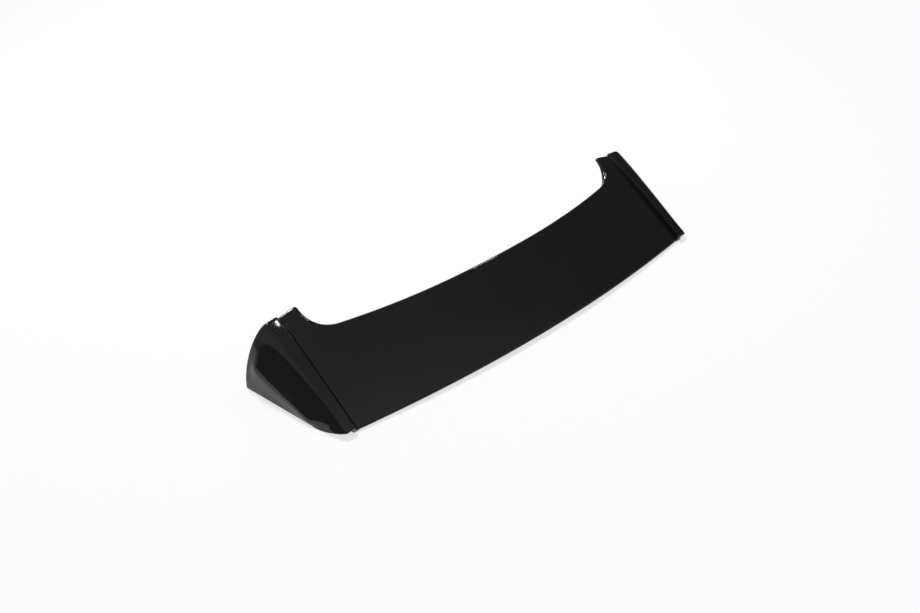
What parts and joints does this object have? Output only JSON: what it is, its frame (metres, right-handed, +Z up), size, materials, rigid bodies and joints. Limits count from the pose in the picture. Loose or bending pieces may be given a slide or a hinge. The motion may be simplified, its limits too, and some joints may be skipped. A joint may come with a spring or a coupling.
{
  "type": "rear spoiler",
  "caption": "Gloss black rear roof spoiler: a crowned sloping panel between raised end ridges, with side fins and forward ears, moulded as one open shell.",
  "frame": {"origin": "on the ground plane, below the middle of the part's box, midway between the ends of its side fins", "axes": "+X across the car from fin to fin, +Y forwards from the trailing edge to the ears, +Z up from the feet of the fins"},
  "size_m": [1.169, 0.2935, 0.1471],
  "materials": {
    "gloss_shell": "high-gloss black moulded plastic, smooth and mirror-like, with rolled edges"
  },
  "bodies": {
    "root": {"spoiler_shell": "gloss_shell"}
  },
  "joints": []
}
